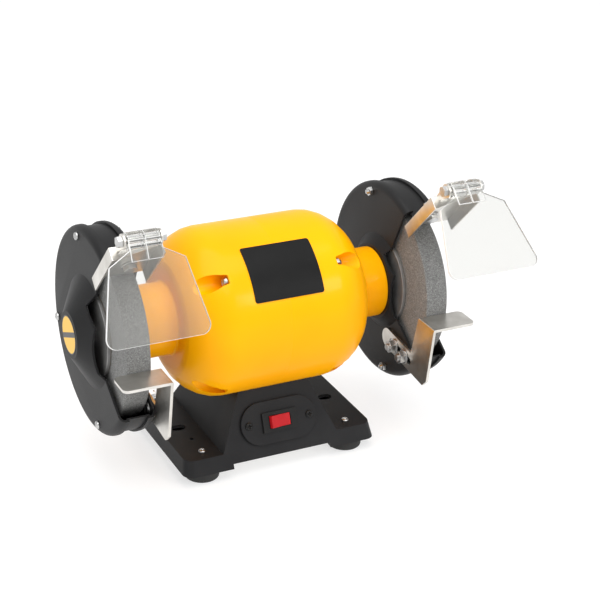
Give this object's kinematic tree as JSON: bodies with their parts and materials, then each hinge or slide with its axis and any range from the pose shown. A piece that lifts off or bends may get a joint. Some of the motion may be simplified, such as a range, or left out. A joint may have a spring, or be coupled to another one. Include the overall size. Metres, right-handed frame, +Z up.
{
  "type": "bench grinder",
  "caption": "Bench grinder: rounded motor on a sloped base, grinding wheels in guards at its ends, sliding tool rests, tilting clear eye shields and a rocker switch.",
  "frame": {"origin": "on the bench, under the middle of the part's bounding box", "axes": "+X along the shaft to the right as seen from the front, +Y to the back, +Z up"},
  "size_m": [0.3628, 0.2408, 0.2555],
  "materials": {
    "yellow_paint": "gloss",
    "black_paint": "satin",
    "base_paint": "satin",
    "zinc_plate": "satin",
    "fastener_steel": "polished",
    "steel": "satin",
    "abrasive": "rough",
    "clear_plastic": "clear",
    "rubber": "matte",
    "black_plastic": "satin",
    "red_plastic": "gloss",
    "label_film": "satin",
    "plate_film": "satin",
    "core_steel": "matte",
    "copper_wire": "satin",
    "capacitor_can": "satin",
    "blotter_paper": "matte"
  },
  "bodies": {
    "frame": {"base_housing": "base_paint", "base_bottom_plate": "zinc_plate", "rubber_feet": "rubber", "foot_screws": "fastener_steel", "foot_nuts": "fastener_steel", "motor_base_screws": "fastener_steel", "switch_plate": "black_plastic", "switch_plate_screws": "black_plastic", "switch_body": "black_plastic", "capacitor": "capacitor_can", "capacitor_strap": "zinc_plate", "capacitor_strap_screws": "fastener_steel", "cable_gland": "black_plastic", "right_end_bell": "yellow_paint", "left_end_bell": "yellow_paint", "motor_through_bolts": "fastener_steel", "motor_through_nuts": "fastener_steel", "stator_core": "core_steel", "stator_windings": "copper_wire", "bearing_outer_rings": "steel", "rating_plate": "plate_film", "left_guard_pan": "black_paint", "right_guard_pan": "black_paint", "left_guard_band": "black_paint", "right_guard_band": "black_paint", "left_guard_cover": "black_paint", "right_guard_cover": "black_paint", "guard_bolts": "fastener_steel", "guard_nuts": "fastener_steel", "guard_neck_screws": "fastener_steel", "guard_labels": "label_film", "rest_studs": "fastener_steel", "rest_washers": "fastener_steel", "rest_nuts": "fastener_steel", "bracket_clamp_bolts": "fastener_steel", "bracket_clamp_washers": "fastener_steel", "bracket_clamp_nuts": "fastener_steel"},
    "rotor": {"rotor_shaft": "steel", "rotor_core": "core_steel", "bearing_inner_rings": "steel", "bearing_balls": "steel", "left_wheel": "abrasive", "right_wheel": "abrasive", "inner_flanges": "steel", "outer_flanges": "steel", "wheel_blotters": "blotter_paper", "wheel_nuts": "fastener_steel"},
    "rocker": {"switch_rocker": "red_plastic"},
    "left_bracket": {"left_shield_bracket": "zinc_plate", "left_hinge_bolt": "fastener_steel", "left_hinge_nut": "fastener_steel"},
    "left_shield": {"left_eye_shield": "clear_plastic"},
    "left_rest": {"left_tool_rest": "zinc_plate"},
    "right_bracket": {"right_shield_bracket": "zinc_plate", "right_hinge_bolt": "fastener_steel", "right_hinge_nut": "fastener_steel"},
    "right_shield": {"right_eye_shield": "clear_plastic"},
    "right_rest": {"right_tool_rest": "zinc_plate"}
  },
  "joints": [
    {"name": "rotor_spin", "type": "hinge", "parent": "frame", "child": "rotor", "pos_m": [0, 0.0324, 0.1313], "axis": [1, 0, 0], "continuous": true},
    {"name": "rocker_tip", "type": "hinge", "parent": "frame", "child": "rocker", "pos_m": [0, -0.0198, 0.04184], "axis": [0, -0.3843, -0.9232], "range_deg": [0, 20]},
    {"name": "left_bracket_slide", "type": "slide", "parent": "frame", "child": "left_bracket", "axis": [0, -0.6858, 0.7278], "range_m": [-0.002, 0.006]},
    {"name": "left_shield_tilt", "type": "hinge", "parent": "left_bracket", "child": "left_shield", "pos_m": [-0.14, -0.06027, 0.24865], "axis": [-1, 0, 0], "range_deg": [-8, 100]},
    {"name": "left_rest_slide", "type": "slide", "parent": "frame", "child": "left_rest", "axis": [0, -0.9925, -0.1219], "range_m": [-0.0008, 0.0055]},
    {"name": "right_bracket_slide", "type": "slide", "parent": "frame", "child": "right_bracket", "axis": [0, -0.6858, 0.7278], "range_m": [-0.002, 0.006]},
    {"name": "right_shield_tilt", "type": "hinge", "parent": "right_bracket", "child": "right_shield", "pos_m": [0.14, -0.06027, 0.24865], "axis": [-1, 0, 0], "range_deg": [-28, 80]},
    {"name": "right_rest_slide", "type": "slide", "parent": "frame", "child": "right_rest", "axis": [0, -0.9925, -0.1219], "range_m": [-0.0008, 0.0055]}
  ]
}
